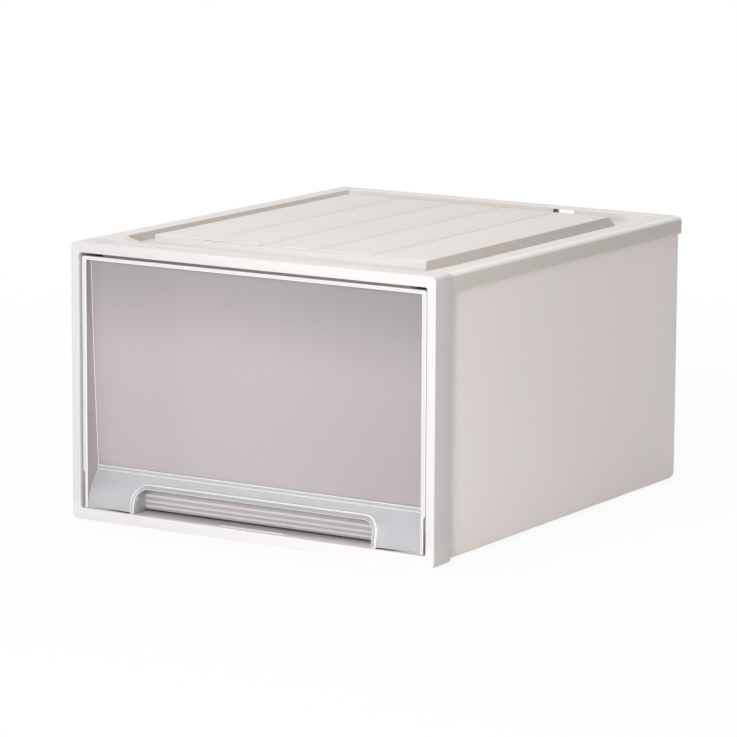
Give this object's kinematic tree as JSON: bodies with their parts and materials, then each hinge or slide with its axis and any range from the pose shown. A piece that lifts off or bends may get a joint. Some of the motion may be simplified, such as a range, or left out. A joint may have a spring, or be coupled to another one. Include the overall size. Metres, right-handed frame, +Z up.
{
  "type": "stackable drawer box",
  "caption": "Low, deep stackable storage box with a clear-fronted drawer that slides out of a pale case with a grooved top deck.",
  "frame": {"origin": "centre of the footprint, on the surface that the box stands on", "axes": "+Z up, the drawer front faces -Y and the drawer slides out along -Y, +X to the right seen from the front"},
  "size_m": [0.44, 0.525, 0.2952],
  "materials": {
    "shell_plastic": "satin, slightly milky moulded plastic",
    "frame_plastic": "satin opaque moulded plastic",
    "panel_plastic": "fine matt moulded plastic",
    "tub_plastic": "translucent moulded plastic",
    "clear_plastic": "clear glossy moulded plastic",
    "handle_plastic": "frosted translucent moulded plastic"
  },
  "bodies": {
    "case": {"body_shell": "shell_plastic", "front_frame": "frame_plastic", "top_panel": "panel_plastic"},
    "drawer": {"drawer_tub": "tub_plastic", "drawer_front": "clear_plastic", "drawer_handle": "handle_plastic"}
  },
  "joints": [
    {"name": "drawer_slide", "type": "slide", "parent": "case", "child": "drawer", "axis": [0, -1, 0], "range_m": [0, 0.42]}
  ]
}
